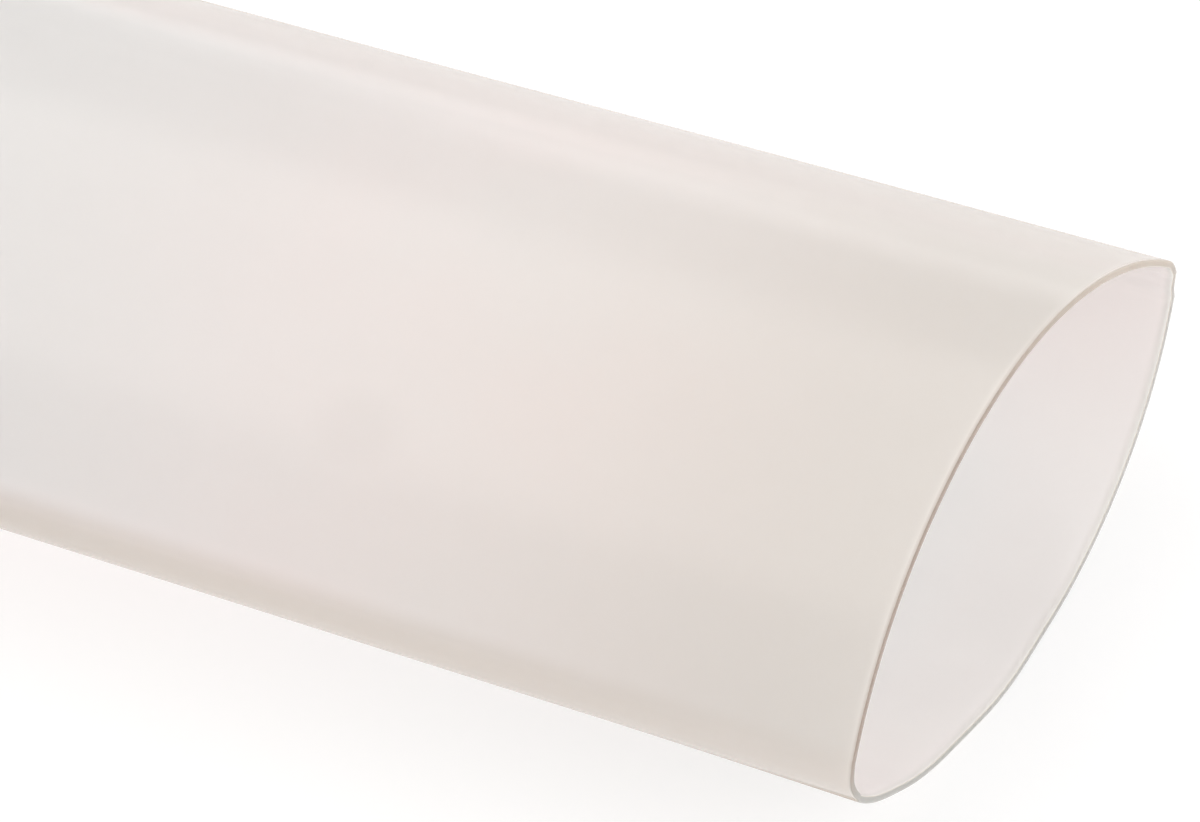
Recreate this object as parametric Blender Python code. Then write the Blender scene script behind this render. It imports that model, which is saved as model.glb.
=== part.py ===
"""Clear polyolefin heat shrink tube of 38.1 mm bore, as supplied and not yet shrunk.

The tube left the factory pressed flat, so it has sprung open to a lens only: two wide arcs
that meet in two rounded creases. It lies unheld on its wide side, along X, and its own
weight presses a narrow strip of it flat on the floor. The origin is under its middle.
"""

import math
from collections import namedtuple

import bmesh
import bpy

# Driving dimensions, in metres
LENGTH = 1.22            # a 48 inch stick, cut square at both ends
BORE = 0.0381            # inside diameter with the tube pressed round, before it is shrunk
WALL = 0.00053           # thickness before it is shrunk
OPEN_HEIGHT = 0.0263     # outside, from the floor to the crown of the sprung-open section
CREASE_HEIGHT = 0.0128   # from the floor to the middle of both creases
CREASE_RADIUS = 0.0030   # outside, where one wide arc turns into the other
REST_WIDTH = 0.0040      # the strip that lies flat on the floor

# Longest facets, in metres
ARC_FACET = 0.0015
CREASE_FACET = 0.0005

# Natural polyolefin: milky, warm off-white, softly glossy
POLYOLEFIN_COLOUR = (0.80, 0.75, 0.71, 1.0)
POLYOLEFIN_ROUGHNESS = 0.35
POLYOLEFIN_IOR = 1.50

SMOOTH_ANGLE = math.radians(30)

Arc = namedtuple("Arc", "y z radius start stop facet")


def clear_scene():
    for item in list(bpy.data.objects):
        bpy.data.objects.remove(item, do_unlink=True)


def wide_arc(half_span, rise):
    """Radius and half-angle of an arc that rises above the crease line and runs into two creases.

    The arc is tangent to both crease circles, whose centres lie half_span to either side of
    its own centre, so the distance between the centres is the difference of the two radii.
    """
    radius = (half_span ** 2 + rise ** 2 - CREASE_RADIUS ** 2) / (2 * (rise - CREASE_RADIUS))
    half_angle = math.atan2(half_span, radius - rise)
    return radius, half_angle


def section(half_span):
    """The outer face of the section, as arcs in order round it, from the right crease upwards."""
    crown_rise = OPEN_HEIGHT - CREASE_HEIGHT
    half_rest = REST_WIDTH / 2
    top_radius, top_angle = wide_arc(half_span, crown_rise)
    low_radius, low_angle = wide_arc(half_span - half_rest, CREASE_HEIGHT)
    quarter = math.pi / 2
    right = low_angle - quarter
    left = 3 * quarter - low_angle
    return [
        Arc(half_span, CREASE_HEIGHT, CREASE_RADIUS, right, quarter - top_angle, CREASE_FACET),
        Arc(0.0, OPEN_HEIGHT - top_radius, top_radius, quarter - top_angle, quarter + top_angle, ARC_FACET),
        Arc(-half_span, CREASE_HEIGHT, CREASE_RADIUS, quarter + top_angle, left, CREASE_FACET),
        Arc(-half_rest, low_radius, low_radius, left, 3 * quarter, ARC_FACET),
        Arc(half_rest, low_radius, low_radius, 3 * quarter, 4 * quarter + right, ARC_FACET),
    ]


def inside_perimeter(half_span):
    arcs = section(half_span)
    return REST_WIDTH + sum((arc.radius - WALL) * (arc.stop - arc.start) for arc in arcs)


def sprung_half_span():
    """Half the distance between the crease centres, found by halving an interval.

    Pressing the tube flat only bends its wall, so the inside perimeter is still that of the
    round bore, and it grows with this distance.
    """
    narrow = REST_WIDTH / 2
    wide = math.pi * BORE / 2
    while wide - narrow > WALL * 1e-6:
        middle = (narrow + wide) / 2
        if inside_perimeter(middle) < math.pi * BORE:
            narrow = middle
        else:
            wide = middle
    return (narrow + wide) / 2


def outline(arcs, inset):
    """Closed outline of the section as (y, z) points, with inset measured in from the outer face."""
    points = []
    for arc in arcs:
        steps = max(2, math.ceil(arc.radius * (arc.stop - arc.start) / arc.facet))
        for step in range(steps + 1):
            angle = arc.start + (arc.stop - arc.start) * step / steps
            y = arc.y + (arc.radius - inset) * math.cos(angle)
            z = arc.z + (arc.radius - inset) * math.sin(angle)
            repeats = points and math.dist(points[-1], (y, z)) < WALL * 1e-3
            if not repeats:
                points.append((y, z))
    points.pop()  # the last point is the first one again
    return points


def polyolefin():
    material = bpy.data.materials.new("natural_polyolefin")
    material.use_nodes = True
    shader = material.node_tree.nodes["Principled BSDF"]
    shader.inputs["Base Color"].default_value = POLYOLEFIN_COLOUR
    shader.inputs["Roughness"].default_value = POLYOLEFIN_ROUGHNESS
    shader.inputs["Metallic"].default_value = 0.0
    shader.inputs["IOR"].default_value = POLYOLEFIN_IOR
    return material


def heat_shrink_tube():
    """The cut end is a ring between the outer and the inner outline, extruded along the tube."""
    arcs = section(sprung_half_span())
    bm = bmesh.new()
    rims = []
    for inset in (0.0, WALL):
        rim = [bm.verts.new((-LENGTH / 2, y, z)) for y, z in outline(arcs, inset)]
        rims += [bm.edges.new(pair) for pair in zip(rim, rim[1:] + rim[:1])]
    ring = bmesh.ops.bridge_loops(bm, edges=rims)["faces"]
    swept = bmesh.ops.extrude_face_region(bm, geom=ring)["geom"]
    far_end = [item for item in swept if isinstance(item, bmesh.types.BMVert)]
    bmesh.ops.translate(bm, verts=far_end, vec=(LENGTH, 0.0, 0.0))
    bmesh.ops.recalc_face_normals(bm, faces=bm.faces)

    mesh = bpy.data.meshes.new("heat_shrink_tube")
    bm.to_mesh(mesh)
    bm.free()
    mesh.shade_smooth()
    mesh.set_sharp_from_angle(angle=SMOOTH_ANGLE)
    mesh.materials.append(polyolefin())
    tube = bpy.data.objects.new("heat_shrink_tube", mesh)
    bpy.context.collection.objects.link(tube)
    return tube


clear_scene()
heat_shrink_tube()
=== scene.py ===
# %% [markdown]
# # A stick of clear heat shrink tube
#
# The real object is one piece of extruded natural polyolefin: a thin sleeve that was shipped pressed flat
# and has sprung open to a lens. This lesson dresses the plain faceted solid of that sleeve. It gives it a
# smooth wall with rounded cut edges and the slight waves of a soft extrusion, a milky, softly glossy
# finish, and the light of a white studio table.
#
# The imported solid comes first. It is the frame that everything else is measured from, and it is never
# moved. Its box is kept, and the sizes of the tube are read from it.

# %% Load the frame
import math

import bpy
import numpy as np
from mathutils import Matrix, Vector


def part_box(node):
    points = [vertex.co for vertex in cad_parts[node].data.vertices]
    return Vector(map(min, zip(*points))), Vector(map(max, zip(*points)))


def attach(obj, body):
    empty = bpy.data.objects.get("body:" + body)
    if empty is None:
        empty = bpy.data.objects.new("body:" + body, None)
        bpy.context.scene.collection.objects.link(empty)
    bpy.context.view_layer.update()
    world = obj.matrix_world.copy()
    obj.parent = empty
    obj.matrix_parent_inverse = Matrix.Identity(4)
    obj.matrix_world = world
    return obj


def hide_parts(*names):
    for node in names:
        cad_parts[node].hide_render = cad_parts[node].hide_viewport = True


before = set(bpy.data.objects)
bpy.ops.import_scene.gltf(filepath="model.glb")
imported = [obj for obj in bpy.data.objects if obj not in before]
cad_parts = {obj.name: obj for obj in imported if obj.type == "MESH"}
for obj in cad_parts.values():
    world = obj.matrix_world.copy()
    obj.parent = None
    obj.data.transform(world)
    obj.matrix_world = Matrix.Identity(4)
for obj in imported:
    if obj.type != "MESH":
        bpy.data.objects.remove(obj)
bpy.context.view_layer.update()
tube_low, tube_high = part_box("heat_shrink_tube")
LENGTH = tube_high.x - tube_low.x
WIDTH = tube_high.y - tube_low.y
OPEN_HEIGHT = tube_high.z - tube_low.z
half_length = LENGTH / 2
print(f"tube {LENGTH:.4f} m long, {WIDTH:.4f} m wide, {OPEN_HEIGHT:.4f} m high")

# %% [markdown]
# ## The camera
#
# The photograph looks down into one mouth of the tube with a long lens from close by, and the camera is
# turned a little about its own axis, so the tube runs downhill to the right. A camera could be placed by
# typing its matrix, but that hides what it looks at. Here it is built from a target on the level of the
# creases, two angles, a distance and a roll, which are all sizes that a photographer could measure.

# %% Place the camera
TARGET_FROM_MOUTH = 0.0339
TARGET_ASIDE = -0.0009
TARGET_HEIGHT = 0.0128
CAMERA_AZIMUTH = math.radians(38.99)
CAMERA_ELEVATION = math.radians(46.02)
CAMERA_ROLL = math.radians(-13.91)
CAMERA_DISTANCE = 0.4744
LENS_MM = 195.3
SENSOR_MM = 36.0

target = Vector((tube_high.x - TARGET_FROM_MOUTH, TARGET_ASIDE, TARGET_HEIGHT))
towards_camera = Vector((
    math.sin(CAMERA_AZIMUTH) * math.cos(CAMERA_ELEVATION),
    -math.cos(CAMERA_AZIMUTH) * math.cos(CAMERA_ELEVATION),
    math.sin(CAMERA_ELEVATION),
))
level_right = Vector((0.0, 0.0, 1.0)).cross(towards_camera).normalized()
level_up = towards_camera.cross(level_right)
right = level_right * math.cos(CAMERA_ROLL) + level_up * math.sin(CAMERA_ROLL)
up = towards_camera.cross(right)
turn = Matrix((right, up, towards_camera)).transposed().to_4x4()

lens = bpy.data.cameras.new("product_lens")
lens.lens = LENS_MM
lens.sensor_width = SENSOR_MM
camera = bpy.data.objects.new("product_camera", lens)
camera.matrix_world = Matrix.Translation(target + towards_camera * CAMERA_DISTANCE) @ turn
bpy.context.scene.collection.objects.link(camera)
bpy.context.scene.camera = camera
print("camera stands at", tuple(round(v, 3) for v in camera.matrix_world.translation))

# %% [markdown]
# ## The section
#
# Pressed flat and let go, a soft tube opens to two wide arcs that meet in two rounded creases, and its own
# weight flattens a narrow strip where it lies. Points could be read off a drawing, but five arcs say it
# with fewer numbers. Each arc is tangent to its neighbours, so its radius follows from how far the creases
# are apart and how high it rises. The wall, the creases and the strip have the sizes of the solid. The
# section is kept as a centre, a radius and a direction for each point, because the same point on the inner
# face then only needs a shorter radius.

# %% Work out the section
WALL = 0.00053
CREASE_HEIGHT = 0.0128
CREASE_RADIUS = 0.0030
REST_WIDTH = 0.0040
ARC_POINTS = 120
CREASE_POINTS = 30
REST_POINTS = 6
QUARTER = 0.5 * math.pi

half_span = WIDTH / 2 - CREASE_RADIUS


def wide_arc(span, rise):
    """Radius and half-angle of an arc that is tangent to both crease circles.

    The distance from its centre to a crease centre is the difference of the two radii, so
    radius = (span squared + rise squared - crease radius squared) / (2 * (rise - crease radius)).
    """
    radius = (span ** 2 + rise ** 2 - CREASE_RADIUS ** 2) / (2 * (rise - CREASE_RADIUS))
    return radius, math.atan2(span, radius - rise)


def arc_rows(y, z, radius, start, stop, count):
    """Rows of centre y, centre z, radius and angle, at equal angles from start to just before stop."""
    angle = start + (stop - start) * np.arange(count) / count
    return np.column_stack([np.full(count, y), np.full(count, z), np.full(count, radius), angle])


def rest_rows(radius):
    """Rows for the flat strip: every point looks straight down, and the arc's centre slides across."""
    y = -REST_WIDTH / 2 + REST_WIDTH * np.arange(REST_POINTS) / REST_POINTS
    level = np.full(REST_POINTS, radius)
    return np.column_stack([y, level, level, np.full(REST_POINTS, 3 * QUARTER)])


top_radius, top_angle = wide_arc(half_span, OPEN_HEIGHT - CREASE_HEIGHT)
low_radius, low_angle = wide_arc(half_span - REST_WIDTH / 2, CREASE_HEIGHT)
top_centre = OPEN_HEIGHT - top_radius
half_rest = REST_WIDTH / 2
right_top = QUARTER - top_angle
left_top = QUARTER + top_angle
left_low = 3 * QUARTER - low_angle
right_low = 3 * QUARTER + low_angle
section = np.vstack([
    arc_rows(half_span, CREASE_HEIGHT, CREASE_RADIUS, right_low - 4 * QUARTER, right_top, CREASE_POINTS),
    arc_rows(0.0, top_centre, top_radius, right_top, left_top, ARC_POINTS),
    arc_rows(-half_span, CREASE_HEIGHT, CREASE_RADIUS, left_top, left_low, CREASE_POINTS),
    arc_rows(-half_rest, low_radius, low_radius, left_low, 3 * QUARTER, ARC_POINTS // 2),
    rest_rows(low_radius),
    arc_rows(half_rest, low_radius, low_radius, 3 * QUARTER, right_low, ARC_POINTS // 2),
])
print(f"section of {len(section)} points")
print(f"top arc {top_radius * 1000:.1f} mm, low arc {low_radius * 1000:.1f} mm in radius")

# %% [markdown]
# ## The wall
#
# Seen along the tube, the wall is a long thin loop: out along the outer face, round the cut edge, back
# along the inner face and round the other edge. Sweeping that loop round the section gives the whole
# sleeve as one closed grid with no seam and no pole. A solidify modifier could thicken a single sheet, but
# it would leave sharp cut edges, and here the edges are rounded as a blade and a thumb leave them.
#
# Each point of the loop also notes how much it belongs to the cut face, because the finish is different
# there. The last point of the outer face counts as partly cut: the blade drags the plastic over the edge.

# %% Work out the loop of the wall
EDGE_RADIUS = 0.00008
FIRST_STATION = 0.00024
STATIONS = 120
END_CROWDING = 0.75
EDGE_POINTS = 4
FACE_POINTS = 4
DRAGGED_EDGE = 0.6


def stations(count):
    """Places along the tube from -1 to 1, crowded at the ends: t + c * sin(pi t) / pi for even steps t."""
    t = np.linspace(-1.0, 1.0, count)
    return t + END_CROWDING * np.sin(math.pi * t) / math.pi


def quarter_round(count):
    """Cosine and sine of angles from 0 to 90 degrees."""
    angle = np.linspace(0.0, QUARTER, count + 1)
    return np.cos(angle), np.sin(angle)


flat_end = half_length - EDGE_RADIUS
outer_x = stations(STATIONS) * (flat_end - FIRST_STATION)
outer_x = np.concatenate([[-flat_end], outer_x, [flat_end]])
cosine, sine = quarter_round(EDGE_POINTS)
edge_x = flat_end + EDGE_RADIUS * sine[1:]
edge_inset = EDGE_RADIUS * (1 - cosine[1:])
face_inset = np.linspace(EDGE_RADIUS, WALL - EDGE_RADIUS, FACE_POINTS + 1)[1:-1]
end_x = np.concatenate([edge_x, np.full(len(face_inset), half_length), edge_x[::-1]])
end_inset = np.concatenate([edge_inset, face_inset, WALL - edge_inset[::-1]])
wall_x = np.concatenate([outer_x, end_x, outer_x[::-1], -end_x])
wall_inset = np.concatenate([0 * outer_x, end_inset, np.full(len(outer_x), WALL), end_inset[::-1]])
outer_cut = 0 * outer_x
outer_cut[[0, -1]] = DRAGGED_EDGE
wall_cut = np.concatenate([outer_cut, np.ones(len(end_x)), 0 * outer_x, np.ones(len(end_x))])
print(f"loop of {len(wall_x)} points, {len(section) * len(wall_x) * 2} triangles in all")

# %% [markdown]
# ## Slight waves and die lines
#
# A soft tube is never ruled straight. It breathes in and out by a tenth of a millimetre as it comes off
# the die and the roll, most across the crown, and not at all where it is pressed on the table. The die
# also leaves faint lines along the tube, a few thousandths of a millimetre deep, which streak the light on
# the crown. A noise modifier could do the waves, but it would push the wall out of its real size. A few
# long waves worked out for the whole grid at once only ever pull the wall in.

# %% Waves and die lines
WAVE_DEPTH = 0.00016
WAVE_LENGTHS = (0.31, 0.17, 0.093, 0.052)
WAVE_TURNS = (2, 1, 3, 2)
DIE_LINE_DEPTH = 0.0000020
DIE_LINE_LENGTH = 0.45
rng = np.random.default_rng(7)

across = section[:, 3][:, None]
along = wall_x[None, :]


def smooth_waves(across, along, lengths, turns):
    """Sum of waves between 0 and 1: cosine of (2 pi along / length + turns * across + phase), evened out."""
    total = np.zeros(np.broadcast(across, along).shape)
    for length, turn_count in zip(lengths, turns):
        phase = rng.uniform(0.0, 2 * math.pi)
        total += np.cos(2 * math.pi * along / length + turn_count * across + phase)
    return 0.5 + 0.5 * total / len(lengths)


def die_lines(across, along):
    """Lines along the tube: random heights round the section, softened, that slowly swap along it.

    They are counted from the lowest, so like the waves they only pull the wall in.
    """
    heights = rng.normal(size=(2, across.size))
    heights += np.roll(heights, 1, axis=1) + np.roll(heights, -1, axis=1)
    swap = 2 * math.pi * along / DIE_LINE_LENGTH
    lines = heights[0][:, None] * np.cos(swap) + heights[1][:, None] * np.sin(swap)
    return lines - lines.min()


lifted = 0.5 + 0.5 * np.sin(across)
waves = WAVE_DEPTH * lifted * smooth_waves(across, along, WAVE_LENGTHS, WAVE_TURNS)
pull_in = waves + DIE_LINE_DEPTH * die_lines(across, along)
print(f"waves pull the wall in by {waves.max() * 1000:.2f} mm at most")

# %% [markdown]
# ## The cut end
#
# A hand-held blade wanders by a tenth of a millimetre round the section, so the cut is not quite plane.
# The free lip of the shown mouth is also a little out of true: it lifts by half a millimetre beside the
# rest strip, bulges below the left crease, and is pinched at the right crease. Cutting the grid with a
# wavy plane would make slivers, so the end points just slide along the tube, and the bends are three
# bell curves round the section that fade out over the last centimetres. Each bend is given as its place
# and its spread in degrees round the section, and its depth, which is below zero where the lip bulges.

# %% Cut line and lip
CUT_DEPTH = 0.00012
CUT_LENGTH = 0.020
CUT_TURNS = (1, 3, 7)
CUT_FADE = 3
LIP_LENGTH = 0.030
LIP_FADE = 2
LIP_BENDS = {
    "lift beside the rest strip": (251, 10, 0.00052),
    "bulge below the left crease": (224, 6, -0.00028),
    "pinch at the right crease": (338, 20, 0.00042),
}

cut_back = CUT_DEPTH * smooth_waves(across, 0 * along, (1.0,) * len(CUT_TURNS), CUT_TURNS)
near_end = np.clip((np.abs(along) - (half_length - CUT_LENGTH)) / CUT_LENGTH, 0.0, 1.0) ** CUT_FADE
near_mouth = np.clip((along - (half_length - LIP_LENGTH)) / LIP_LENGTH, 0.0, 1.0) ** LIP_FADE
degrees = np.degrees(across) % 360
for bend, (centre, spread, depth) in LIP_BENDS.items():
    pull_in = pull_in + near_mouth * depth * np.exp(-((degrees - centre) / spread) ** 2)
    print(f"{bend}: {depth * 1000:.2f} mm at {centre} degrees")

# %% [markdown]
# ## The sleeve
#
# All of it goes into one grid: each point is the arc's centre plus a reach along the point's direction. The
# reach is the radius less the depth in the wall less the waves. The grid closes on itself both ways, so its
# quads are found by plain index arithmetic, and the order of their corners turns the faces outwards.
#
# Three numbers are stored with the points for the finish: how much a point is on the cut face, how deep it
# lies in the wall, and how near it is, on the outer face, to one of the two outlines of the creases, where
# shade is painted.

# %% Make the sleeve
# Painted shade: two dark lines on the outer face along the outlines of the creases, at 37 and 217 degrees.
OUTLINE_SHADE_CENTRES = (37, 217)
OUTLINE_SHADE_SPREAD = 13
OUTLINE_SHADE_STRENGTHS = (0.5, 0.7)


def sleeve_grid():
    """Points of the sleeve: centre + (radius - inset - pull in) * direction, at each point of the loop."""
    reach = section[:, 2][:, None] - wall_inset[None, :] - pull_in
    y = section[:, 0][:, None] + reach * np.cos(across)
    z = section[:, 1][:, None] + reach * np.sin(across)
    x = along - np.sign(along) * cut_back * near_end
    return np.stack([np.broadcast_to(x, y.shape), y, z], axis=-1)


def closed_grid_mesh(name, grid):
    """A mesh of quads from a grid that closes on itself both ways, with its faces pointing out."""
    rows, columns = grid.shape[:2]
    i, j = np.meshgrid(np.arange(rows), np.arange(columns), indexing="ij")
    i_next = (i + 1) % rows
    j_next = (j + 1) % columns
    corners = [i * columns + j, i * columns + j_next, i_next * columns + j_next, i_next * columns + j]
    quads = np.stack(corners, axis=-1).reshape(-1, 4)
    mesh = bpy.data.meshes.new(name)
    mesh.from_pydata(grid.reshape(-1, 3), [], quads.tolist())
    mesh.shade_smooth()
    mesh.update()
    return mesh


def note_points(mesh, name, values):
    """Stores one number for each point of the mesh, under a name that a material can read."""
    layer = mesh.attributes.new(name, "FLOAT", "POINT")
    layer.data.foreach_set("value", np.asarray(values, np.float32).ravel())


sleeve = sleeve_grid()
whole = sleeve.shape[:2]
outline_shade_share = 0.0
for centre, strength in zip(OUTLINE_SHADE_CENTRES, OUTLINE_SHADE_STRENGTHS):
    outline_shade_share = outline_shade_share + strength * np.exp(-((degrees - centre) / OUTLINE_SHADE_SPREAD) ** 2)
mesh = closed_grid_mesh("tube_wall", sleeve)
note_points(mesh, "cut_face", np.broadcast_to(wall_cut, whole))
note_points(mesh, "wall_depth", np.broadcast_to(wall_inset / WALL, whole))
note_points(mesh, "outline_shade", outline_shade_share * (wall_inset[None, :] == 0))
tube = bpy.data.objects.new("tube_wall", mesh)
bpy.context.scene.collection.objects.link(tube)
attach(tube, "root")
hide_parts("heat_shrink_tube")
surface = sum(p.area for p in mesh.polygons)
print(f"sleeve of {len(mesh.vertices)} points and {len(mesh.polygons)} quads, {surface:.4f} m2 of surface")

# %% [markdown]
# ## The finish
#
# Natural polyolefin has no pigment. It is milky because light scatters inside it, softly glossy because the
# die polished it, and its cut edge looks dark because the eye looks along the wall there, not through it.
# A glass shader would show things sharply through the wall, and a plain diffuse one would leave the inside
# of the tube black. Scattering below the surface does what the plastic does: light enters on one side,
# wanders, and leaves on the other, so the inside of the tube is lit through its wall.
#
# Three helpers come first. They turn a hex colour into the linear colour that a shader needs, add a node
# with its settings and links, and lay one colour softly over another. A Mix node has sockets for numbers,
# vectors and colours: its inputs 0, 6 and 7 are the factor and the two colours, and its output 2 is theirs.

# %% Colour and node helpers


def srgb(code):
    """Linear colour of an sRGB hex code: each channel c becomes ((c + 0.055) / 1.055) to the power 2.4."""
    channels = np.array([int(code[k:k + 2], 16) for k in (1, 3, 5)]) / 255
    linear = np.where(channels <= 0.04045, channels / 12.92, ((channels + 0.055) / 1.055) ** 2.4)
    return (*linear.tolist(), 1.0)


def add_node(tree, kind, inputs=None, **settings):
    """Adds a node, sets its settings, and gives each input a value or a link from another node's output."""
    node = tree.nodes.new(kind)
    for name, value in settings.items():
        setattr(node, name, value)
    for name, value in (inputs or {}).items():
        if isinstance(value, bpy.types.NodeSocket):
            tree.links.new(value, node.inputs[name])
        else:
            node.inputs[name].default_value = value
    return node


def lay_over(tree, under, over, value, low, high, share=1.0):
    """Lays a colour over another: its share rises smoothly from 0 to share as value goes from low to high."""
    limits = {"Value": value, "From Min": low, "From Max": high, "To Max": share}
    part = add_node(tree, "ShaderNodeMapRange", limits, interpolation_type="SMOOTHSTEP").outputs["Result"]
    return add_node(tree, "ShaderNodeMix", {0: part, 6: under, 7: over}, data_type="RGBA").outputs[2]


print("helpers ready, mid grey is", round(srgb("#808080")[0], 3), "in linear light")

# %% [markdown]
# ## Colour of the plastic
#
# Seen closely, the milkiness is not even. It drifts between a pinker and a cooler white over a few
# centimetres. Towards a cut end, where light leaks out of the wall, shade is painted as a greyer colour,
# and further in light is painted as a brighter, pinker white. Shade is also painted greyer in the two
# creases and along the flank of the right one, and there is one faint oval smudge near the mouth. On the
# inner face, light is painted as a whiter colour, and shade as grey at its rim, towards the cut end and
# towards the creases. These are all places on the tube, so they are worked out from Object coordinates,
# and each is one colour laid over the last. A painted picture could hold them too, but it would need a file.

# %% Colours and places of the plastic
MILK = srgb("#F4E4E0")
COOL_MILK = srgb("#EFE6E2")
# Painted shade: greyer towards both cut ends.
END_SHADE_MILK = srgb("#D0CBC6")
# Painted light: a brighter, pinker white further in from the ends.
DEEP_LIT_MILK = srgb("#FFEFEB")
# Painted shade: greyer in both creases, more so near the ends.
CREASE_SHADE_MILK = srgb("#D6CCC4")
CREASE_END_SHADE_MILK = srgb("#CDC6C0")
# Painted shade: greyer along the flank of the right crease.
FLANK_SHADE_MILK = srgb("#D0C8C4")
# Painted light: the inner face is whiter to light the inside of the tube.
INNER_LIT_MILK = srgb("#FEFAF8")
# Painted shade on the inner face: greyer towards the cut end, at its rim and towards the creases.
INNER_END_SHADE_MILK = srgb("#F2ECE9")
INNER_RIM_SHADE_MILK = srgb("#CAC8C4")
INNER_SIDE_SHADE_MILK = srgb("#EBE2E0")
# Painted shade: dark lines along the outlines of the creases.
OUTLINE_SHADE_BROWN = srgb("#A8998A")
SMUDGE_GREY = srgb("#B9BCBA")

DRIFT_LOW = 0.35
DRIFT_HIGH = 0.65
END_LENGTH = 0.060
DEEP_FROM = 0.040
DEEP_TO = 0.095
CREASE_FROM = half_span + 0.0013
FLANK_FROM = 0.0146
FLANK_TO = 0.0182
FLANK_SHARE = 0.58
INNER_END_LENGTH = 0.020
INNER_RIM_LENGTH = 0.0009
INNER_SIDE_FROM = 0.010
SMUDGE_PLACE = (tube_high.x - 0.0442, -0.0155, 0.0225)
SMUDGE_HALF_LENGTH = 0.0040
SMUDGE_HALF_WIDTH = 0.0030
SMUDGE_RIM = 1.3
SMUDGE_CORE = 0.3
SMUDGE_SHARE = 0.12
MID_WALL = 0.5


def smudge_radius(tree, place):
    """Distance from the middle of the smudge, counted in its half sizes, so that an oval becomes a ball."""
    scale = (1 / SMUDGE_HALF_LENGTH, 1 / SMUDGE_HALF_WIDTH, 1 / SMUDGE_HALF_WIDTH)
    away = add_node(tree, "ShaderNodeVectorMath", {0: place, 1: SMUDGE_PLACE}, operation="SUBTRACT")
    scaled = add_node(tree, "ShaderNodeVectorMath", {0: away.outputs[0], 1: scale}, operation="MULTIPLY")
    return add_node(tree, "ShaderNodeVectorMath", {0: scaled.outputs[0]}, operation="LENGTH").outputs["Value"]


def plastic_colour(tree, place, drift):
    """Milk that drifts, with painted light and shade laid on by the distance from the nearer end, the place
    across, the face and the outlines.
    """
    parts = add_node(tree, "ShaderNodeSeparateXYZ", {"Vector": place}).outputs
    reach = add_node(tree, "ShaderNodeMath", {0: parts["X"]}, operation="ABSOLUTE").outputs[0]
    from_end = add_node(tree, "ShaderNodeMath", {0: half_length, 1: reach}, operation="SUBTRACT").outputs[0]
    from_middle = add_node(tree, "ShaderNodeMath", {0: parts["Y"]}, operation="ABSOLUTE").outputs[0]
    depth = add_node(tree, "ShaderNodeAttribute", attribute_name="wall_depth").outputs["Fac"]
    outline_shade_fac = add_node(tree, "ShaderNodeAttribute", attribute_name="outline_shade").outputs["Fac"]
    colour = lay_over(tree, MILK, COOL_MILK, drift, DRIFT_LOW, DRIFT_HIGH)
    colour = lay_over(tree, colour, DEEP_LIT_MILK, from_end, DEEP_FROM, DEEP_TO)
    colour = lay_over(tree, colour, END_SHADE_MILK, from_end, END_LENGTH, 0.0)
    colour = lay_over(tree, colour, FLANK_SHADE_MILK, parts["Y"], FLANK_FROM, FLANK_TO, FLANK_SHARE)
    crease = lay_over(tree, CREASE_SHADE_MILK, CREASE_END_SHADE_MILK, from_end, END_LENGTH, 0.0)
    colour = lay_over(tree, colour, crease, from_middle, CREASE_FROM, WIDTH / 2)
    smudge = smudge_radius(tree, place)
    colour = lay_over(tree, colour, SMUDGE_GREY, smudge, SMUDGE_RIM, SMUDGE_CORE, SMUDGE_SHARE)
    inner = lay_over(tree, INNER_LIT_MILK, INNER_END_SHADE_MILK, from_end, INNER_END_LENGTH, 0.0)
    inner = lay_over(tree, inner, INNER_SIDE_SHADE_MILK, from_middle, INNER_SIDE_FROM, WIDTH / 2)
    inner = lay_over(tree, inner, INNER_RIM_SHADE_MILK, from_end, INNER_RIM_LENGTH, 0.0)
    colour = lay_over(tree, colour, inner, depth, MID_WALL, 1.0)
    return add_node(tree, "ShaderNodeMix", {0: outline_shade_fac, 6: colour, 7: OUTLINE_SHADE_BROWN}, data_type="RGBA").outputs[2]


print(f"grey from the ends to {END_LENGTH * 1000:.0f} mm in, pinker from {DEEP_FROM * 1000:.0f} mm on")

# %% [markdown]
# ## Colour of the cut face
#
# The eye looks along the wall at its cut face, so it sees grey-brown depth there and not thin milk; that
# shade is painted into the colour of the cut face. The upper lip is painted darkest on the left and lighter
# towards the right crease, and the lower lip, which lies close to the bright table, has the table's light
# painted on as a lighter, greyer brown. The height of a point tells one lip from the other. Only the
# innermost skin of the wall stays pale. One flat brown would be simpler, but it would draw the mouth like a
# pen line.

# %% Colours of the cut face
# Painted shade of the cut face seen along the wall; the lower lip is painted lighter, as lit by the table.
CUT_SHADE_DARK = srgb("#83766C")
CUT_SHADE_LIGHT = srgb("#A1978D")
LOW_LIP_TABLE_LIT = srgb("#918F8B")
PALE_CUT = srgb("#B4ABA2")
LOW_LIP_TOP = 0.010
UPPER_LIP_FROM = 0.016
LIGHT_FROM = -0.010
LIGHT_TO = 0.024
ALL_BROWN = 0.83
NO_BROWN = 1.0


def cut_colour(tree, place, cut, colour):
    """Painted shade of brown from the outer face nearly to the inner one, laid on as far as a point is on the
    cut face.
    """
    parts = add_node(tree, "ShaderNodeSeparateXYZ", {"Vector": place}).outputs
    depth = add_node(tree, "ShaderNodeAttribute", attribute_name="wall_depth").outputs["Fac"]
    brown = lay_over(tree, CUT_SHADE_DARK, CUT_SHADE_LIGHT, parts["Y"], LIGHT_FROM, LIGHT_TO)
    brown = lay_over(tree, LOW_LIP_TABLE_LIT, brown, parts["Z"], LOW_LIP_TOP, UPPER_LIP_FROM)
    face = lay_over(tree, PALE_CUT, brown, depth, NO_BROWN, ALL_BROWN)
    return add_node(tree, "ShaderNodeMix", {0: cut, 6: colour, 7: face}, data_type="RGBA").outputs[2]


print(f"the cut face is brown through {ALL_BROWN:.0%} of the wall, then fades to pale")

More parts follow.
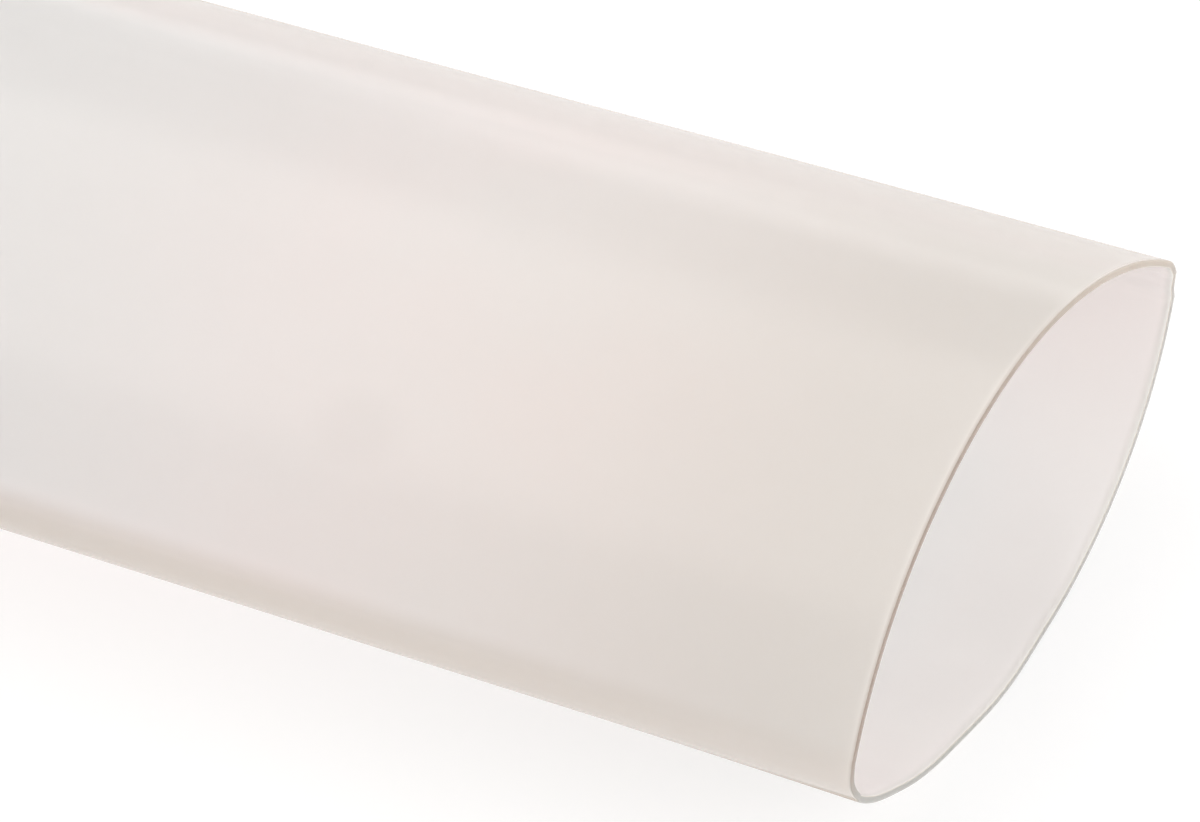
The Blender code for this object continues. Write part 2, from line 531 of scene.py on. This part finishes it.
# %% [markdown]
# ## Natural polyolefin
#
# The index of polyethylene-like plastics is about 1.49. The die's polish gives a soft gloss, a little
# hazier where the drift is cooler, and the cut face is matt. The light path is about three times the wall,
# so most light passes through and comes out spread, which hides whatever is inside. It is the same for
# all three colours: the warmth is in the colour itself.

# %% Extruded natural polyolefin
POLYOLEFIN_IOR = 1.49
GLOSS_ROUGHNESS = 0.19
HAZE_ROUGHNESS = 0.24
CUT_ROUGHNESS = 0.60
LIGHT_PATH = 0.0016
EVEN_PATHS = (1.0, 1.0, 1.0)
DRIFT_SIZE = 0.035


def extruded_natural_polyolefin():
    """Milky plastic: colour and gloss drift over its surface, and light wanders inside its wall."""
    material = bpy.data.materials.new("extruded_natural_polyolefin")
    material.use_nodes = True
    tree = material.node_tree
    shader = tree.nodes["Principled BSDF"]
    place = add_node(tree, "ShaderNodeTexCoord").outputs["Object"]
    cut = add_node(tree, "ShaderNodeAttribute", attribute_name="cut_face").outputs["Fac"]
    drift = add_node(tree, "ShaderNodeTexNoise", {"Vector": place, "Scale": 1 / DRIFT_SIZE}).outputs["Fac"]
    colour = cut_colour(tree, place, cut, plastic_colour(tree, place, drift))
    haze = {"Value": drift, "From Min": DRIFT_LOW, "From Max": DRIFT_HIGH}
    haze |= {"To Min": GLOSS_ROUGHNESS, "To Max": HAZE_ROUGHNESS}
    gloss = add_node(tree, "ShaderNodeMapRange", haze).outputs["Result"]
    matt = {"Value": cut, "To Min": gloss, "To Max": CUT_ROUGHNESS}
    roughness = add_node(tree, "ShaderNodeMapRange", matt).outputs["Result"]
    tree.links.new(colour, shader.inputs["Base Color"])
    tree.links.new(roughness, shader.inputs["Roughness"])
    shader.inputs["IOR"].default_value = POLYOLEFIN_IOR
    shader.inputs["Subsurface Weight"].default_value = 1.0
    shader.inputs["Subsurface Radius"].default_value = EVEN_PATHS
    shader.inputs["Subsurface Scale"].default_value = LIGHT_PATH
    return material


mesh.materials.append(extruded_natural_polyolefin())
print("finish has", len(mesh.materials[0].node_tree.nodes), "nodes")

# %% [markdown]
# ## The table
#
# Milky sleeves are photographed on a lit white table, so that light also comes up through them and their
# shadow stays faint. The board here is matt white acrylic with a soft glow of its own. It is a mesh of one
# big square, wide enough that no view from any side reaches its edge.

# %% White table
TABLE_HALF = 40.0
TABLE_WHITE = srgb("#B4B4B4")
TABLE_ROUGHNESS = 0.9
TABLE_GLOW = 0.58
PLAIN_WHITE = srgb("#FFFFFF")


def matt_white_acrylic():
    """Matt white sheet that is lit from below: more than half of its brightness is its own glow."""
    material = bpy.data.materials.new("matt_white_acrylic")
    material.use_nodes = True
    shader = material.node_tree.nodes["Principled BSDF"]
    shader.inputs["Base Color"].default_value = TABLE_WHITE
    shader.inputs["Roughness"].default_value = TABLE_ROUGHNESS
    shader.inputs["Emission Color"].default_value = PLAIN_WHITE
    shader.inputs["Emission Strength"].default_value = TABLE_GLOW
    return material


def white_table():
    """A square board at the height of the tube's rest strip."""
    side = np.array([-TABLE_HALF, TABLE_HALF])
    x, y = np.meshgrid(side, side, indexing="ij")
    board = bpy.data.meshes.new("white_table")
    board.from_pydata(np.stack([x, y, 0 * x], axis=-1).reshape(-1, 3), [], [(0, 2, 3, 1)])
    board.materials.append(matt_white_acrylic())
    table = bpy.data.objects.new("white_table", board)
    bpy.context.scene.collection.objects.link(table)
    return table


table = white_table()
print(f"table of {table.dimensions.x:.0f} by {table.dimensions.y:.0f} m")

# %% [markdown]
# ## The light
#
# A white room fills every side evenly. A big warm panel overhead and to the left gives the soft sheen on
# the crown, a panel in front of the mouth lights the inside, and a weak one beside the tube fills its near
# flank. A thin bright strip low behind the tube is mirrored at a shallow angle, and draws the light line
# along the far side of the crown, strongest towards the mouth. Lamps close to the tube would need less
# power, but their pools of light would end on the table. These stand several metres off, and they are not
# seen themselves. Places are counted from the floor under the mouth.

# %% Studio light
ROOM_LIGHT = 0.50
WARM_LIGHT = (1.0, 0.96, 0.92)
NEUTRAL_LIGHT = (1.0, 1.0, 1.0)
mouth = Vector((tube_high.x, 0.0, 0.0))


def panel_light(name, place, aim, width, height, radiance, colour):
    """A flat panel at place that faces aim; its power is pi * area * the brightness that it shows."""
    lamp = bpy.data.lights.new(name, "AREA")
    lamp.shape = "RECTANGLE"
    lamp.size = width
    lamp.size_y = height
    lamp.energy = math.pi * width * height * radiance
    lamp.color = colour
    panel = bpy.data.objects.new(name, lamp)
    facing = Vector(aim) - Vector(place)
    standing = Matrix.Translation(mouth + Vector(place))
    panel.matrix_world = standing @ facing.to_track_quat("-Z", "Y").to_matrix().to_4x4()
    panel.visible_camera = False
    bpy.context.scene.collection.objects.link(panel)
    print(f"{name}: {lamp.energy:.1f} W")
    return panel


world = bpy.data.worlds.new("white_room")
world.use_nodes = True
background = world.node_tree.nodes["Background"]
background.inputs["Color"].default_value = PLAIN_WHITE
background.inputs["Strength"].default_value = ROOM_LIGHT
bpy.context.scene.world = world

panel_light("overhead_panel", (-4.53, 1.65, 6.0), (-4.53, 1.65, 0.0), 9.0, 9.6, 1.0, WARM_LIGHT)
panel_light("mouth_panel", (2.37, 0.0, 0.96), (0.0, 0.0, 0.01), 4.5, 1.8, 3.1, NEUTRAL_LIGHT)
panel_light("side_panel", (-1.60, -5.0, 1.0), (-1.60, 0.0, 0.0), 8.0, 1.6, 0.50, NEUTRAL_LIGHT)
panel_light("back_strip", (-0.80, 4.8, 0.60), (-0.80, 0.0, 0.60), 3.6, 0.30, 2.5, NEUTRAL_LIGHT)
bpy.context.scene.view_settings.view_transform = "Standard"
